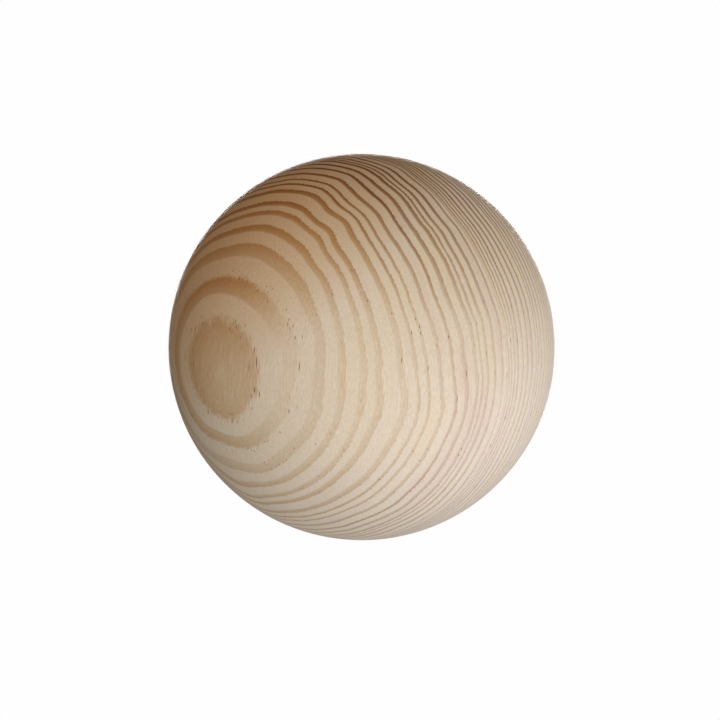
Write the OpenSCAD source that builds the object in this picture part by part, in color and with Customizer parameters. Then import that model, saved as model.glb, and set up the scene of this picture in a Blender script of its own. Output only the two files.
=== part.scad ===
// A plain wooden ball, turned in one piece from a block of pine and sanded all over.
// It is a full sphere, with no hole, no flat and no fitting.
// Its centre is the origin, and the fibres of the wood run almost upright, along Z.

/* [Ball] */
// Diameter of the finished ball
ball_d = 100; // [20:1:300]

/* [Hidden] */
// The ball is one solid piece of wood

// Steps round a full circle, for an outline that looks smooth
round_steps = 180;

// The ball itself, turned to a sphere between two cup chucks
module ball() {
    color("burlywood")
        sphere(d = ball_d, $fn = round_steps);
}

ball();
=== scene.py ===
import math

import bmesh
import bpy
from mathutils import Matrix, Vector, noise


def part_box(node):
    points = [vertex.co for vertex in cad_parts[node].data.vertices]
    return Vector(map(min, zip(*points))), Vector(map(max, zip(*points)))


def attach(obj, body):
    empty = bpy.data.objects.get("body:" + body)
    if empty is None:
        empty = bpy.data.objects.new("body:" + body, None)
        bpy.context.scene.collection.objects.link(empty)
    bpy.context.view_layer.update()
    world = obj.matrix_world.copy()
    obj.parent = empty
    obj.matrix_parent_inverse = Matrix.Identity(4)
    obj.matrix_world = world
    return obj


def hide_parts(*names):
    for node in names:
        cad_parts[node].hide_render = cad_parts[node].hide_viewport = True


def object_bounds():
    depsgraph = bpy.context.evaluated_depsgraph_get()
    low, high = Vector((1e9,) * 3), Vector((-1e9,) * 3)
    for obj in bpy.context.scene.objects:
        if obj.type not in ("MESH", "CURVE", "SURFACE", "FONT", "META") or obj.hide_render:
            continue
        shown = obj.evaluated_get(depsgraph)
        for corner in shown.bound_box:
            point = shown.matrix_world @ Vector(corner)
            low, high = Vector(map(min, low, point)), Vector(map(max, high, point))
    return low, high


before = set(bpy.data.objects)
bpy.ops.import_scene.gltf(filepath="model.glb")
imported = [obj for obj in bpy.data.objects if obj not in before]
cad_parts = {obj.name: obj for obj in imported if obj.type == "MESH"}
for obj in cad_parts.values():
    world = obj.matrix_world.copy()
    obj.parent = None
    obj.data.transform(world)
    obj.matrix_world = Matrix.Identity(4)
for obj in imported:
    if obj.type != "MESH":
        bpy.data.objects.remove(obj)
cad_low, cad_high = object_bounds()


# ---------------------------------------------------------------------------
# The ball. One plain ball of softwood, turned between cup centres from a single
# block of pine and sanded by hand to a fine, dry, unfinished surface. The block
# was sawn clear of the pith, so one cheek of the ball shows an oval figure.
# ---------------------------------------------------------------------------
ball_low, ball_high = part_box("ball")
ball_radius = (ball_high.z - ball_low.z) / 2
ball_centre = (ball_low + ball_high) / 2

# A cube cut into a grid and swollen to a ball has no poles, so its squares are all
# nearly one size, about 0.6 mm.
CUBE_SIDE = 2                 # so that each face lies 1 from the middle
GRID_CUTS = 127
EIGHTH_TURN = math.pi / 4     # from a face's middle to its edge
SKIN = 0.00001                # keeps the turned surface inside the true ball
SANDING_WAVE = 0.00004        # how far hand sanding leaves the surface off a true ball
SANDING_PITCH = 0.014         # from one sanded flat to the next

ball_mesh = bpy.data.meshes.new("turned_ball")
ball_form = bmesh.new()
bmesh.ops.create_cube(ball_form, size=CUBE_SIDE)
bmesh.ops.subdivide_edges(ball_form, edges=ball_form.edges[:], cuts=GRID_CUTS, use_grid_fill=True)
for vertex in ball_form.verts:
    even = Vector([math.tan(side * EIGHTH_TURN) for side in vertex.co])
    outward = even.normalized()
    wave = 0.5 + 0.5 * noise.noise(outward * ball_radius / SANDING_PITCH)
    vertex.co = ball_centre + outward * (ball_radius - SKIN - SANDING_WAVE * wave)
bmesh.ops.recalc_face_normals(ball_form, faces=ball_form.faces[:])
for face in ball_form.faces:
    face.smooth = True
ball_form.to_mesh(ball_mesh)
ball_form.free()
ball = bpy.data.objects.new("turned_ball", ball_mesh)
bpy.context.scene.collection.objects.link(ball)


def linear(hex_colour):
    """An sRGB hex colour as the linear RGBA that a shader takes."""
    channels = [int(hex_colour[i:i + 2], 16) / 255 for i in (1, 3, 5)]
    return [c / 12.92 if c <= 0.04045 else ((c + 0.055) / 1.055) ** 2.4 for c in channels] + [1.0]


def add_node(tree, kind, feeds, points=(), handle="AUTO", stops=(), **settings):
    """Adds a node. settings are its properties, and feeds its inputs: values, or nodes that feed them.

    points are a float curve's (x, y), and stops a colour ramp's (place from 0 to 1, hex colour).
    """
    node = tree.nodes.new(kind)
    for name, value in settings.items():
        setattr(node, name, value)
    for key, value in feeds.items():
        named = [socket for socket in node.inputs if socket.enabled and socket.name == key]
        socket = named[0] if named else node.inputs[key]
        if isinstance(value, bpy.types.Node):
            value = [output for output in value.outputs if output.enabled][0]
        if isinstance(value, bpy.types.NodeSocket):
            tree.links.new(value, socket)
        else:
            socket.default_value = value
    if points:
        line = node.mapping.curves[0].points
        node.mapping.use_clip = False
        line[0].location, line[-1].location = points[0], points[-1]
        for point in points[1:-1]:
            line.new(*point)
        for point in line:
            point.handle_type = handle
        node.mapping.update()
    if stops:
        line = node.color_ramp.elements
        line[0].position, line[-1].position = stops[0][0], stops[-1][0]
        for at, hex_colour in stops[1:-1]:
            line.new(at)
        for stop, (at, hex_colour) in zip(line, stops):
            stop.color = linear(hex_colour)
    return node


# Pine, turned and sanded, bare of oil or varnish: matt, with cream earlywood, tan
# to red-brown latewood that is hard and slightly proud, and short dark resin canals.
pine = bpy.data.materials.new("pine_turned_and_sanded")
pine.use_nodes = True
wood = pine.node_tree
wood.nodes.clear()
place = add_node(wood, "ShaderNodeTexCoord", {}).outputs["Object"]
place_axes = add_node(wood, "ShaderNodeSeparateXYZ", {"Vector": place})

# The log's own directions. The oval figure sits where the growth rings lie flat
# against the surface: on the left cheek, a little below the ball's middle.
MM = 1000                     # the patterns are all worked out in millimetres
toward_figure = Vector((-0.717, -0.693, -0.075)).normalized()
up = (Vector((0, 0, 1)) - toward_figure * toward_figure.z).normalized()
across = up.cross(toward_figure)


def log_directions(lean, dip):
    """Turns object space to the log's: X into the figure, Y across the rings' bend, Z along it."""
    lean, dip = math.radians(lean), math.radians(dip)
    along = up * math.cos(lean) + across * math.sin(lean)
    side = across * math.cos(lean) - up * math.sin(lean)
    outward = toward_figure * math.cos(dip) + along * math.sin(dip)
    return Matrix((outward, side, outward.cross(side))).to_euler()


RING_LEAN = 32                # degrees from upright, seen straight on to the oval
RING_DIP = -3.5               # degrees out of the oval's own plane
log = add_node(wood, "ShaderNodeMapping", {"Vector": place, "Rotation": log_directions(RING_LEAN, RING_DIP),
                                           "Scale": (MM, MM, MM)})
log_axes = add_node(wood, "ShaderNodeSeparateXYZ", {"Vector": log})
depth = add_node(wood, "ShaderNodeMath", {0: ball_radius * MM, 1: log_axes.outputs["X"]},
                 operation="SUBTRACT")

# How the rings bend across the log, in mm, at three depths below the oval figure.
# The bend is an arch with one sharper shoulder, as where the trunk had a flute.
ACROSS = (-50, -40, -30, -22, -15, -8, 0, 8, 16, 24, 32, 40, 50)
BENDS = (
    (8, (-6.1, -3.7, 0.1, 3.0, 4.7, 5.8, 6.2, 5.8, 4.8, 3.2, 0.5, -3.2, -9.9)),
    (38, (-9.3, -5.7, 0.2, 2.4, 3.6, 4.9, 5.9, 6.0, 5.0, 2.8, -0.5, -5.6, -13.7)),
    (68, (-0.3, 0.7, 1.7, 3.0, 5.3, 4.7, 5.3, 4.8, 2.5, -0.8, -5.7, -10.9, -18.0)),
)
bend = None
last_depth = None
for level, heights in BENDS:
    arch = add_node(wood, "ShaderNodeFloatCurve", {"Value": log_axes.outputs["Y"]},
                    points=list(zip(ACROSS, heights)))
    if bend is None:
        bend = arch
    else:
        bend = add_node(wood, "ShaderNodeMapRange", {"Value": depth, "From Min": last_depth,
                                                     "From Max": level, "To Min": bend, "To Max": arch})
    last_depth = level

# The trunk also tapers and bows a little along its length. The sum, growth, is how many
# mm of wood the tree had put on, so it is the same all over one growth ring.
BOW = -0.006
TAPER = -0.0026
taper = add_node(wood, "ShaderNodeMath", {0: depth, 1: TAPER}, operation="MULTIPLY")
bowed = add_node(wood, "ShaderNodeMath", {0: log_axes.outputs["Z"], 1: BOW, 2: taper},
                 operation="MULTIPLY_ADD")
arched = add_node(wood, "ShaderNodeMath", {0: depth, 1: bend}, operation="ADD")
growth = add_node(wood, "ShaderNodeMath", {0: bowed, 1: log_axes.outputs["Z"], 2: arched},
                  operation="MULTIPLY_ADD")

# Places where the rings swell (up) or pinch (down) a little, as over an old branch
# scar: across and along the log, how wide, and how far the rings are lifted, in mm.
SWELLS = (
    (-26, 28, 20, -0.45), (-18, 47, 12, -0.30), (11, 44, 12, -0.50), (19, 36, 11, -0.15),
    (18, 17, 11, 0.50), (24, 3, 15, 0.40), (8, -23, 13, -0.50), (10, -37, 13, 1.00),
    (35, 29, 11, 0.25), (40, -29, 12, -0.45), (-3, 47, 10, -0.75), (2, 43, 6, 0.20),
    (7, 37, 6, -0.15), (46, 12, 14, 0.50),
)
flat_place = add_node(wood, "ShaderNodeCombineXYZ", {"Y": log_axes.outputs["Y"],
                                                     "Z": log_axes.outputs["Z"]})
for swell_across, swell_along, width, lift in SWELLS:
    away = add_node(wood, "ShaderNodeVectorMath", {0: flat_place, 1: (0, swell_across, swell_along)},
                    operation="DISTANCE").outputs["Value"]
    swell = add_node(wood, "ShaderNodeMapRange", {"Value": away, "From Min": 0.0, "From Max": float(width),
                                                  "To Min": -lift, "To Max": 0.0},
                     interpolation_type="SMOOTHSTEP")
    growth = add_node(wood, "ShaderNodeMath", {0: growth, 1: swell}, operation="ADD")

# Small wobbles run through the rings too, least near the oval. Here and below, a noise
# is read over the middle of its range, where nearly all of it lies.
WOBBLE_PITCH = (14, 7, 11)    # mm through the rings, across the log and along it
WOBBLE_BY_OVAL = 0.03         # mm either way
WOBBLE_FURTHER_ROUND = 0.17
wobble_space = add_node(wood, "ShaderNodeMapping", {"Vector": log,
                                                    "Scale": [1 / mm for mm in WOBBLE_PITCH]})
wobble_noise = add_node(wood, "ShaderNodeTexNoise", {"Vector": wobble_space, "Scale": 1.0, "Detail": 1.0})
wobble = add_node(wood, "ShaderNodeMapRange", {"Value": wobble_noise, "From Min": 0.25, "From Max": 0.75,
                                               "To Min": -1.0, "To Max": 1.0})
wobble_size = add_node(wood, "ShaderNodeMapRange", {"Value": growth, "From Min": 9.0, "From Max": 26.0,
                                                    "To Min": WOBBLE_BY_OVAL,
                                                    "To Max": WOBBLE_FURTHER_ROUND})
growth = add_node(wood, "ShaderNodeMath", {0: wobble, 1: wobble_size, 2: growth}, operation="MULTIPLY_ADD")

# Each year's latewood: where it starts and ends in mm of growth, and how dark it is.
YEARS = [
    (6.3, 6.8, 0.90), (7.8, 8.4, 0.85), (9.9, 10.7, 0.55), (11.9, 12.4, 0.70), (13.7, 14.1, 0.68),
    (15.0, 15.5, 0.80), (17.2, 17.8, 0.75), (19.0, 19.25, 1.00), (20.3, 20.55, 0.90), (22.1, 22.6, 0.85),
    (24.4, 24.8, 1.25), (26.3, 26.9, 0.90), (28.4, 29.0, 0.90), (29.7, 30.0, 0.90), (31.0, 31.5, 0.95),
    (32.9, 33.5, 0.95), (35.4, 35.8, 0.85), (36.8, 37.0, 0.45), (37.4, 37.7, 0.90), (38.4, 38.7, 0.95),
    (39.6, 39.9, 0.95), (40.8, 41.3, 1.05), (42.8, 43.3, 1.00), (45.0, 45.6, 1.10), (47.2, 47.8, 1.10),
    (49.9, 50.3, 1.10), (51.4, 51.9, 1.10), (53.6, 54.2, 1.10), (56.4, 57.1, 1.05), (59.4, 60.0, 1.00),
]
# Further round, the years go on at the same pace with gentle good and bad spells.
LAST_YEAR = 51
USUAL_WIDTH, WIDTH_SPREAD, WIDTH_SPELL = 2.1, 0.5, 1.7      # mm, mm, and radians a year
USUAL_DARK, DARK_SPREAD, DARK_SPELL = 0.95, 0.20, 2.3
LATEWOOD_SHARE = 0.3
for year in range(len(YEARS), LAST_YEAR + 1):
    spacing = USUAL_WIDTH + WIDTH_SPREAD * math.sin(year * WIDTH_SPELL)
    start = YEARS[-1][1] + spacing * (1 - LATEWOOD_SHARE)
    end = start + spacing * LATEWOOD_SHARE
    YEARS.append((start, end, USUAL_DARK + DARK_SPREAD * math.sin(year * DARK_SPELL)))

# One year turns to the next midway between their bands.
PAST_END = (2.0, 0.9)         # how far the last year runs on, in mm and in years
turns = [(0.0, 0.0)]
for year in range(1, LAST_YEAR + 1):
    turns.append(((YEARS[year - 1][1] + YEARS[year][0]) / 2, float(year)))
turns.append((turns[-1][0] + PAST_END[0], LAST_YEAR + PAST_END[1]))
year_line = add_node(wood, "ShaderNodeFloatCurve", {"Value": growth}, points=turns, handle="VECTOR")
year_now = add_node(wood, "ShaderNodeMath", {0: year_line}, operation="FLOOR")
late_start, late_end, late_dark = [
    add_node(wood, "ShaderNodeFloatCurve", {"Value": year_now}, handle="VECTOR",
             points=[(float(year), values[column]) for year, values in enumerate(YEARS)])
    for column in range(3)
]

# Fibres run closer to upright than the rings' bend does. Their bundles tear the outer
# edge of each latewood band into fine teeth, 0.4 mm wide and several mm long.
FIBRE_LEAN = 11
TEETH_PITCH = (0.4, 0.4, 6.0)
TEETH_BY_OVAL = 0.17          # mm deep
TEETH_FURTHER_ROUND = 0.12
fibre = add_node(wood, "ShaderNodeMapping", {"Vector": place, "Rotation": log_directions(FIBRE_LEAN, 0),
                                             "Scale": (MM, MM, MM)})
teeth_space = add_node(wood, "ShaderNodeMapping", {"Vector": fibre,
                                                   "Scale": [1 / mm for mm in TEETH_PITCH]})
teeth_noise = add_node(wood, "ShaderNodeTexNoise", {"Vector": teeth_space, "Scale": 1.0, "Detail": 2.0})
teeth = add_node(wood, "ShaderNodeMapRange", {"Value": teeth_noise, "From Min": 0.25, "From Max": 0.75,
                                              "To Min": -1.0, "To Max": 1.0})
teeth_deep = add_node(wood, "ShaderNodeMapRange", {"Value": year_now, "From Min": 0.0, "From Max": 2.0,
                                                   "To Min": TEETH_BY_OVAL, "To Max": TEETH_FURTHER_ROUND})
torn_growth = add_node(wood, "ShaderNodeMath", {0: teeth, 1: teeth_deep, 2: growth},
                       operation="MULTIPLY_ADD")

# Inside a band the wood darkens outwards, then stops short at the next spring's wood.
# Only the first two bands, round the oval's heart, fade outwards more than inwards.
inner_soft = add_node(wood, "ShaderNodeMapRange", {"Value": year_now, "From Min": 1.0, "From Max": 3.0,
                                                   "To Min": 0.14, "To Max": 0.26})
outer_soft = add_node(wood, "ShaderNodeMapRange", {"Value": year_now, "From Min": 1.0, "From Max": 2.0,
                                                   "To Min": 0.28, "To Max": 0.08})
inner_from = add_node(wood, "ShaderNodeMath", {0: late_start, 1: inner_soft}, operation="SUBTRACT")
outer_to = add_node(wood, "ShaderNodeMath", {0: late_end, 1: outer_soft}, operation="ADD")
inside = add_node(wood, "ShaderNodeMapRange", {"Value": growth, "From Min": inner_from,
                                               "From Max": late_start}, interpolation_type="SMOOTHSTEP")
outside = add_node(wood, "ShaderNodeMapRange", {"Value": torn_growth, "From Min": outer_to,
                                                "From Max": late_end}, interpolation_type="SMOOTHSTEP")
ripening = add_node(wood, "ShaderNodeMapRange", {"Value": torn_growth, "From Min": late_start,
                                                 "From Max": late_end, "To Min": 0.7, "To Max": 1.05})
band = add_node(wood, "ShaderNodeMath", {0: inside, 1: outside}, operation="MULTIPLY")
band = add_node(wood, "ShaderNodeMath", {0: band, 1: ripening}, operation="MULTIPLY")
latewood = add_node(wood, "ShaderNodeMath", {0: band, 1: late_dark}, operation="MULTIPLY")

# The bands are darkest towards the ball's top, and a little darker towards its left.
# They are faintest about its middle height, and a little darker again at its foot.
# Heights are in metres.
BAND_DARKNESS_BY_HEIGHT = (
    (-0.050, 0.62), (-0.035, 0.46), (-0.020, 0.31), (0.0, 0.28), (0.010, 0.44), (0.020, 0.70),
    (0.030, 1.02), (0.040, 1.50), (0.050, 2.20),
)
band_darkness_up = add_node(wood, "ShaderNodeFloatCurve", {"Value": place_axes.outputs["Z"]}, points=BAND_DARKNESS_BY_HEIGHT)
band_darkness_left = add_node(wood, "ShaderNodeMapRange", {"Value": place_axes.outputs["X"], "From Min": -0.045,
                                                  "From Max": 0.010, "To Min": 0.20, "To Max": 0.0})
band_darkness = add_node(wood, "ShaderNodeMath", {0: band_darkness_up, 1: band_darkness_left}, operation="ADD")
latewood = add_node(wood, "ShaderNodeMath", {0: latewood, 1: band_darkness}, operation="MULTIPLY")

# The ring round the oval's heart fades out towards the right.
HEART_RING = 1.0              # its place in YEARS
heart_right = add_node(wood, "ShaderNodeMapRange", {"Value": place_axes.outputs["X"], "From Min": -0.030,
                                                    "From Max": -0.020, "To Min": 1.0, "To Max": 0.35})
heart_ring = add_node(wood, "ShaderNodeMath", {0: year_now, 1: HEART_RING, 2: 0.5}, operation="COMPARE")
heart_fade = add_node(wood, "ShaderNodeMapRange", {"Value": heart_ring, "To Min": 1.0,
                                                   "To Max": heart_right})
latewood = add_node(wood, "ShaderNodeMath", {0: latewood, 1: heart_fade}, operation="MULTIPLY")

# Earlywood: cream, darker and warmer towards the top left and paler at the lower right. This is partly
# the wood's own warmer tone and partly painted shade, away from the light at the lower right.
LOWER_RIGHT = (0.68, 0.0, -0.73)
tone_and_shade_axis = add_node(wood, "ShaderNodeVectorMath", {0: place, 1: LOWER_RIGHT},
                     operation="DOT_PRODUCT").outputs["Value"]
tone_and_shade = add_node(wood, "ShaderNodeMapRange", {"Value": tone_and_shade_axis, "From Min": -ball_radius,
                                             "From Max": ball_radius})
earlywood = add_node(wood, "ShaderNodeValToRGB", {"Fac": tone_and_shade}, stops=(
    (0.05, "#CA9C6D"), (0.27, "#CDB391"), (0.38, "#D2C0A8"), (0.5, "#D1C1A9"), (0.73, "#D3C6B4"),
    (0.95, "#D9CFC4"),
))

# Fine streaks of fibre bundles over everything, 0.35 mm wide.
STREAK_PITCH = (0.35, 0.35, 7.0)
STREAK_TONE = 0.08            # how far a streak goes either way, where a dark band is 1
streak_space = add_node(wood, "ShaderNodeMapping", {"Vector": fibre,
                                                    "Scale": [1 / mm for mm in STREAK_PITCH]})
streak_noise = add_node(wood, "ShaderNodeTexNoise", {"Vector": streak_space, "Scale": 1.0, "Detail": 3.0})
streak = add_node(wood, "ShaderNodeMapRange", {"Value": streak_noise, "From Min": 0.3, "From Max": 0.7,
                                               "To Min": -STREAK_TONE, "To Max": STREAK_TONE})
tone = add_node(wood, "ShaderNodeMath", {0: latewood, 1: streak}, operation="ADD")

# The cut ends of single fibres give the sanded wood a fine, woolly grain. Real ones are
# some 0.04 mm wide, too fine to show, so they are drawn 0.3 mm wide.
GRAIN_PITCH = (0.3, 0.3, 1.4)
grain_space = add_node(wood, "ShaderNodeMapping", {"Vector": fibre,
                                                   "Scale": [1 / mm for mm in GRAIN_PITCH]})
grain_noise = add_node(wood, "ShaderNodeTexNoise", {"Vector": grain_space, "Scale": 1.0, "Detail": 2.0})
grain = add_node(wood, "ShaderNodeValToRGB", {"Fac": grain_noise},
                 stops=((0.3, "#F0EFEE"), (0.7, "#FFFFFF")))

# Some years' wood is pinker and some yellower, and the tint fades in and out along the
# rings. It is weak round the oval and stronger further round.
TINT_PITCH = (3, 30, 30)      # mm of growth, then across and along the log
year_place = add_node(wood, "ShaderNodeCombineXYZ", {"X": growth, "Y": log_axes.outputs["Y"],
                                                     "Z": log_axes.outputs["Z"]})
tint_space = add_node(wood, "ShaderNodeMapping", {"Vector": year_place,
                                                  "Scale": [1 / mm for mm in TINT_PITCH]})
tint_noise = add_node(wood, "ShaderNodeTexNoise", {"Vector": tint_space, "Scale": 1.0, "Detail": 2.0})
year_tint = add_node(wood, "ShaderNodeValToRGB", {"Fac": tint_noise},
                     stops=((0.3, "#FFF8EA"), (0.5, "#FFFCF8"), (0.7, "#FBF1F1")))
tint_share = add_node(wood, "ShaderNodeMapRange", {"Value": growth, "From Min": 12.0, "From Max": 32.0,
                                                   "To Min": 0.2, "To Max": 1.2})
earlywood = add_node(wood, "ShaderNodeMix", {"Factor": tint_share, "A": earlywood, "B": year_tint},
                     data_type="RGBA", blend_type="MULTIPLY")

# Latewood is the same wood with a deeper stain over it: orange-brown in the wide
# rings of the oval, redder brown in the close rings further round.
DARKEST_TONE = 1.5            # where the stains' last colours are reached
tone_share = add_node(wood, "ShaderNodeMath", {0: tone, 1: 1 / DARKEST_TONE}, operation="MULTIPLY")
orange_stain = add_node(wood, "ShaderNodeValToRGB", {"Fac": tone_share},
                        stops=((0.0, "#FFFFFF"), (0.4, "#DFC39A"), (0.8, "#C49760"), (1.0, "#B08048")))
red_stain = add_node(wood, "ShaderNodeValToRGB", {"Fac": tone_share},
                     stops=((0.0, "#FFFFFF"), (0.4, "#D1C2B4"), (0.8, "#AF9077"), (1.0, "#9C785C")))
redness = add_node(wood, "ShaderNodeMapRange", {"Value": growth, "From Min": 14.0, "From Max": 28.0})
stain = add_node(wood, "ShaderNodeMix", {"Factor": redness, "A": orange_stain, "B": red_stain},
                 data_type="RGBA")
colour = add_node(wood, "ShaderNodeMix", {"Factor": 1.0, "A": earlywood, "B": stain},
                  data_type="RGBA", blend_type="MULTIPLY")
colour = add_node(wood, "ShaderNodeMix", {"Factor": 1.0, "A": colour, "B": grain},
                  data_type="RGBA", blend_type="MULTIPLY")

# Resin canals: dark dashes 2 mm long and 0.25 mm wide. They crowd at the bands' outer
# edges, and round the oval's heart they also lie in the pale wood just past them. Each
# place for one draws a lot, and it is filled where the lot is under the odds there.
CANAL_PITCH = (0.7, 0.7, 7.0)
CANAL_RIM, CANAL_CORE = 0.24, 0.10      # as shares of the pitch, out from a canal's middle
CANAL_BROWN = linear("#6A4526")
CANAL_STRENGTH = 0.9
canal_space = add_node(wood, "ShaderNodeMapping", {"Vector": fibre,
                                                   "Scale": [1 / mm for mm in CANAL_PITCH]})
canals = add_node(wood, "ShaderNodeTexVoronoi", {"Vector": canal_space, "Scale": 1.0}, feature="F1")
canal_near = add_node(wood, "ShaderNodeMapRange", {"Value": canals.outputs["Distance"],
                                                   "From Min": CANAL_RIM, "From Max": CANAL_CORE})
canal_lot = add_node(wood, "ShaderNodeSeparateColor", {"Color": canals.outputs["Color"]}).outputs["Red"]
canal_from = add_node(wood, "ShaderNodeMath", {0: growth, 1: late_end}, operation="SUBTRACT")
canal_reach = add_node(wood, "ShaderNodeMapRange", {"Value": year_now, "From Min": 1.0, "From Max": 2.0,
                                                    "To Min": 0.6, "To Max": 0.05})
canal_past = add_node(wood, "ShaderNodeMath", {0: canal_from, 1: canal_reach}, operation="LESS_THAN")
canal_start = add_node(wood, "ShaderNodeMapRange", {"Value": year_now, "From Min": 1.0, "From Max": 2.0,
                                                    "To Min": -0.14, "To Max": -0.45})
canal_rise = add_node(wood, "ShaderNodeMapRange", {"Value": canal_from, "From Min": canal_start,
                                                   "From Max": -0.04, "To Min": 0.01, "To Max": 1.0})
canal_crowd = add_node(wood, "ShaderNodeMapRange", {"Value": year_now, "From Min": 1.0, "From Max": 2.0,
                                                    "To Min": 0.90, "To Max": 0.45})
canal_rise = add_node(wood, "ShaderNodeMath", {0: canal_rise, 1: canal_crowd}, operation="MULTIPLY")
canal_odds = add_node(wood, "ShaderNodeMath", {0: canal_past, 1: canal_rise}, operation="MULTIPLY")
canal_here = add_node(wood, "ShaderNodeMath", {0: canal_lot, 1: canal_odds}, operation="LESS_THAN")
canal = add_node(wood, "ShaderNodeMath", {0: canal_near, 1: canal_here}, operation="MULTIPLY")
canal_amount = add_node(wood, "ShaderNodeMath", {0: canal, 1: CANAL_STRENGTH}, operation="MULTIPLY")
colour = add_node(wood, "ShaderNodeMix", {"Factor": canal_amount, "A": colour, "B": CANAL_BROWN},
                  data_type="RGBA")

# Latewood is a little smoother than the spongy earlywood and stands proud of it, and
# the canals are open at the surface. Bare wood has half the shine of a sealed surface.
PROUD = 0.00003
EARLY_ROUGH, LATE_ROUGH = 0.68, 0.55
roughness = add_node(wood, "ShaderNodeMapRange", {"Value": tone, "From Min": 0.0, "From Max": 1.0,
                                                  "To Min": EARLY_ROUGH, "To Max": LATE_ROUGH})
relief = add_node(wood, "ShaderNodeMath", {0: band, 1: canal}, operation="SUBTRACT")
bump = add_node(wood, "ShaderNodeBump", {"Height": relief, "Distance": PROUD, "Strength": 0.6})
surface = add_node(wood, "ShaderNodeBsdfPrincipled", {"Base Color": colour, "Roughness": roughness,
                                                      "IOR": 1.5, "Specular IOR Level": 0.25,
                                                      "Normal": bump})
add_node(wood, "ShaderNodeOutputMaterial", {"Surface": surface})
ball_mesh.materials.append(pine)

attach(ball, "root")
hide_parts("ball")


# ---------------------------------------------------------------------------
# The floor and the room. A round sheet of white under the ball, lit through from
# below so that it shows no shadow, in a white room that gives off a little light.
# ---------------------------------------------------------------------------
FLOOR_RADIUS = 4.0
FLOOR_SIDES = 96
floor_mesh = bpy.data.meshes.new("floor")
floor_form = bmesh.new()
bmesh.ops.create_circle(floor_form, cap_ends=True, segments=FLOOR_SIDES, radius=FLOOR_RADIUS)
bmesh.ops.translate(floor_form, verts=floor_form.verts[:], vec=(0, 0, cad_low.z))
floor_form.to_mesh(floor_mesh)
floor_form.free()
floor = bpy.data.objects.new("floor", floor_mesh)
bpy.context.scene.collection.objects.link(floor)

# Matt white sheet, lit through: to the eye it is one even white, just short of pure.
# What it throws up at the ball grows towards the front right, where its own lamp is.
WHITE_GLOW = 0.99
THROWN_UP = (0.0, 1.33)       # at the back left, and at the front right
LAMP_REACH = 0.08             # each way from the ball's middle
FRONT_RIGHT = (0.64, -0.77, 0)
sheet = bpy.data.materials.new("white_sheet_lit_through")
sheet.use_nodes = True
sheet.node_tree.nodes.clear()
sheet_place = add_node(sheet.node_tree, "ShaderNodeTexCoord", {}).outputs["Object"]
toward_lamp = add_node(sheet.node_tree, "ShaderNodeVectorMath", {0: sheet_place, 1: FRONT_RIGHT},
                       operation="DOT_PRODUCT").outputs["Value"]
thrown = add_node(sheet.node_tree, "ShaderNodeMapRange", {"Value": toward_lamp, "From Min": -LAMP_REACH,
                                                          "From Max": LAMP_REACH, "To Min": THROWN_UP[0],
                                                          "To Max": THROWN_UP[1]})
seen_direct = add_node(sheet.node_tree, "ShaderNodeLightPath", {}).outputs["Is Camera Ray"]
glow_strength = add_node(sheet.node_tree, "ShaderNodeMapRange", {"Value": seen_direct, "To Min": thrown,
                                                                 "To Max": WHITE_GLOW})
glow = add_node(sheet.node_tree, "ShaderNodeEmission", {"Color": (1, 1, 1, 1), "Strength": glow_strength})
add_node(sheet.node_tree, "ShaderNodeOutputMaterial", {"Surface": glow})
floor_mesh.materials.append(sheet)

ROOM_GLOW = 0.09
world = bpy.data.worlds.new("studio")
bpy.context.scene.world = world
world.use_nodes = True
world.node_tree.nodes.clear()
ray = add_node(world.node_tree, "ShaderNodeLightPath", {}).outputs["Is Camera Ray"]
room = add_node(world.node_tree, "ShaderNodeBackground", {"Color": (1, 1, 1, 1), "Strength": ROOM_GLOW})
white = add_node(world.node_tree, "ShaderNodeBackground", {"Color": (1, 1, 1, 1), "Strength": WHITE_GLOW})
seen = add_node(world.node_tree, "ShaderNodeMixShader", {"Fac": ray, 1: room, 2: white})
add_node(world.node_tree, "ShaderNodeOutputWorld", {"Surface": seen})


# ---------------------------------------------------------------------------
# The lamps. Four white studio lamps, far off and soft: the main one low at the
# front right, weak ones to the right and the left, and one straight behind the
# ball, which gives its outline a faint sheen.
# ---------------------------------------------------------------------------
LAMPS = {
    # degrees round from the front towards the right, degrees up, strength, degrees across
    "key_lamp": (28, 2, 3.0, 80),
    "side_lamp": (130, 0, 0.5, 70),
    "fill_lamp": (280, 10, 0.65, 70),
    "back_lamp": (180, 0, 4.0, 26),
}
for name, (azimuth, elevation, strength, spread) in LAMPS.items():
    lamp = bpy.data.lights.new(name, "SUN")
    lamp.energy = strength
    lamp.angle = math.radians(spread)
    holder = bpy.data.objects.new(name, lamp)
    bpy.context.scene.collection.objects.link(holder)
    turn, rise = math.radians(azimuth), math.radians(elevation)
    toward = Vector((math.sin(turn) * math.cos(rise), -math.cos(turn) * math.cos(rise), math.sin(rise)))
    holder.rotation_euler = toward.to_track_quat("Z", "Y").to_euler()


# ---------------------------------------------------------------------------
# The camera. A long lens at the ball's own height, straight on, so that the
# outline is a true circle, with the ball a little above the frame's middle.
# ---------------------------------------------------------------------------
LENS = 1000
SENSOR = 36
OUTLINE = 0.537               # the ball's outline as a share of half the frame
SHIFT_X = -0.0022             # as shares of the frame
SHIFT_Y = -0.018
CLIP_START = 0.1
CLIP_END = 20                 # past the floor's far edge
lens_slope = OUTLINE * (SENSOR / 2) / LENS
distance = ball_radius / math.sin(math.atan(lens_slope))
camera = bpy.data.cameras.new("camera")
camera.lens = LENS
camera.sensor_width = SENSOR
camera.shift_x = SHIFT_X
camera.shift_y = SHIFT_Y
camera.clip_start = CLIP_START
camera.clip_end = CLIP_END
camera_holder = bpy.data.objects.new("camera", camera)
camera_holder.location = ball_centre + Vector((0, -distance, 0))
camera_holder.rotation_euler = (math.radians(90), 0, 0)
bpy.context.scene.collection.objects.link(camera_holder)
bpy.context.scene.camera = camera_holder
bpy.context.scene.view_settings.view_transform = "Standard"
